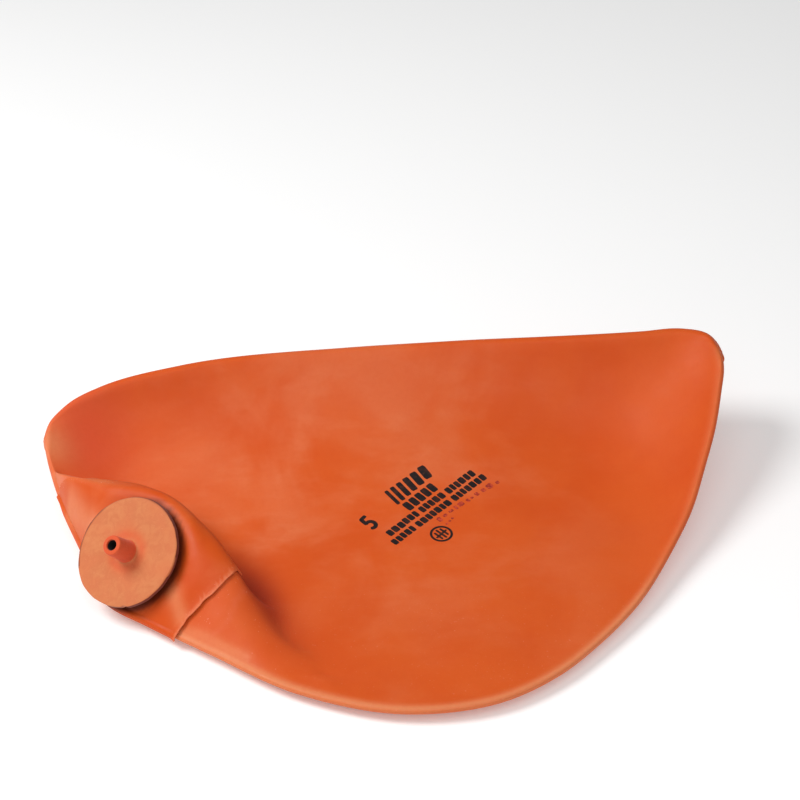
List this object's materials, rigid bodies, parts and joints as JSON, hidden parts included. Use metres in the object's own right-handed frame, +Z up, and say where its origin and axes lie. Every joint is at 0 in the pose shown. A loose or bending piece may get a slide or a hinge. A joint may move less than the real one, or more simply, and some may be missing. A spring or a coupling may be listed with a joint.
{
  "type": "ball bladder",
  "caption": "Thin dipped-latex ball bladder, let down and folded into a D-shaped dish, with a round flange valve on its swollen near corner.",
  "frame": {"origin": "under the middle of the part's box, on the surface that it lies on", "axes": "+X along the fold, from the valve's end to the plain end; +Y from the open mouth to the fold; +Z up"},
  "size_m": [0.2199, 0.1485, 0.0372],
  "materials": {
    "orange_latex": "satin, faintly dusty dipped latex",
    "patch_latex": "satin, cemented",
    "tan_rubber": "matte, dusted with talc",
    "amber_gum": "soft gum"
  },
  "bodies": {
    "bladder": {"bladder_envelope": "orange_latex", "valve_patch": "patch_latex"},
    "valve": {"valve_body": "tan_rubber", "valve_core": "amber_gum"}
  },
  "joints": [
    {"name": "valve_rock", "type": "hinge", "parent": "bladder", "child": "valve", "pos_m": [-0.0737, -0.0202, 0.016], "axis": [0.4355, 0.5843, 0.6848], "range_deg": [-4, 4], "stiffness_Nm_per_rad": 0.02}
  ]
}
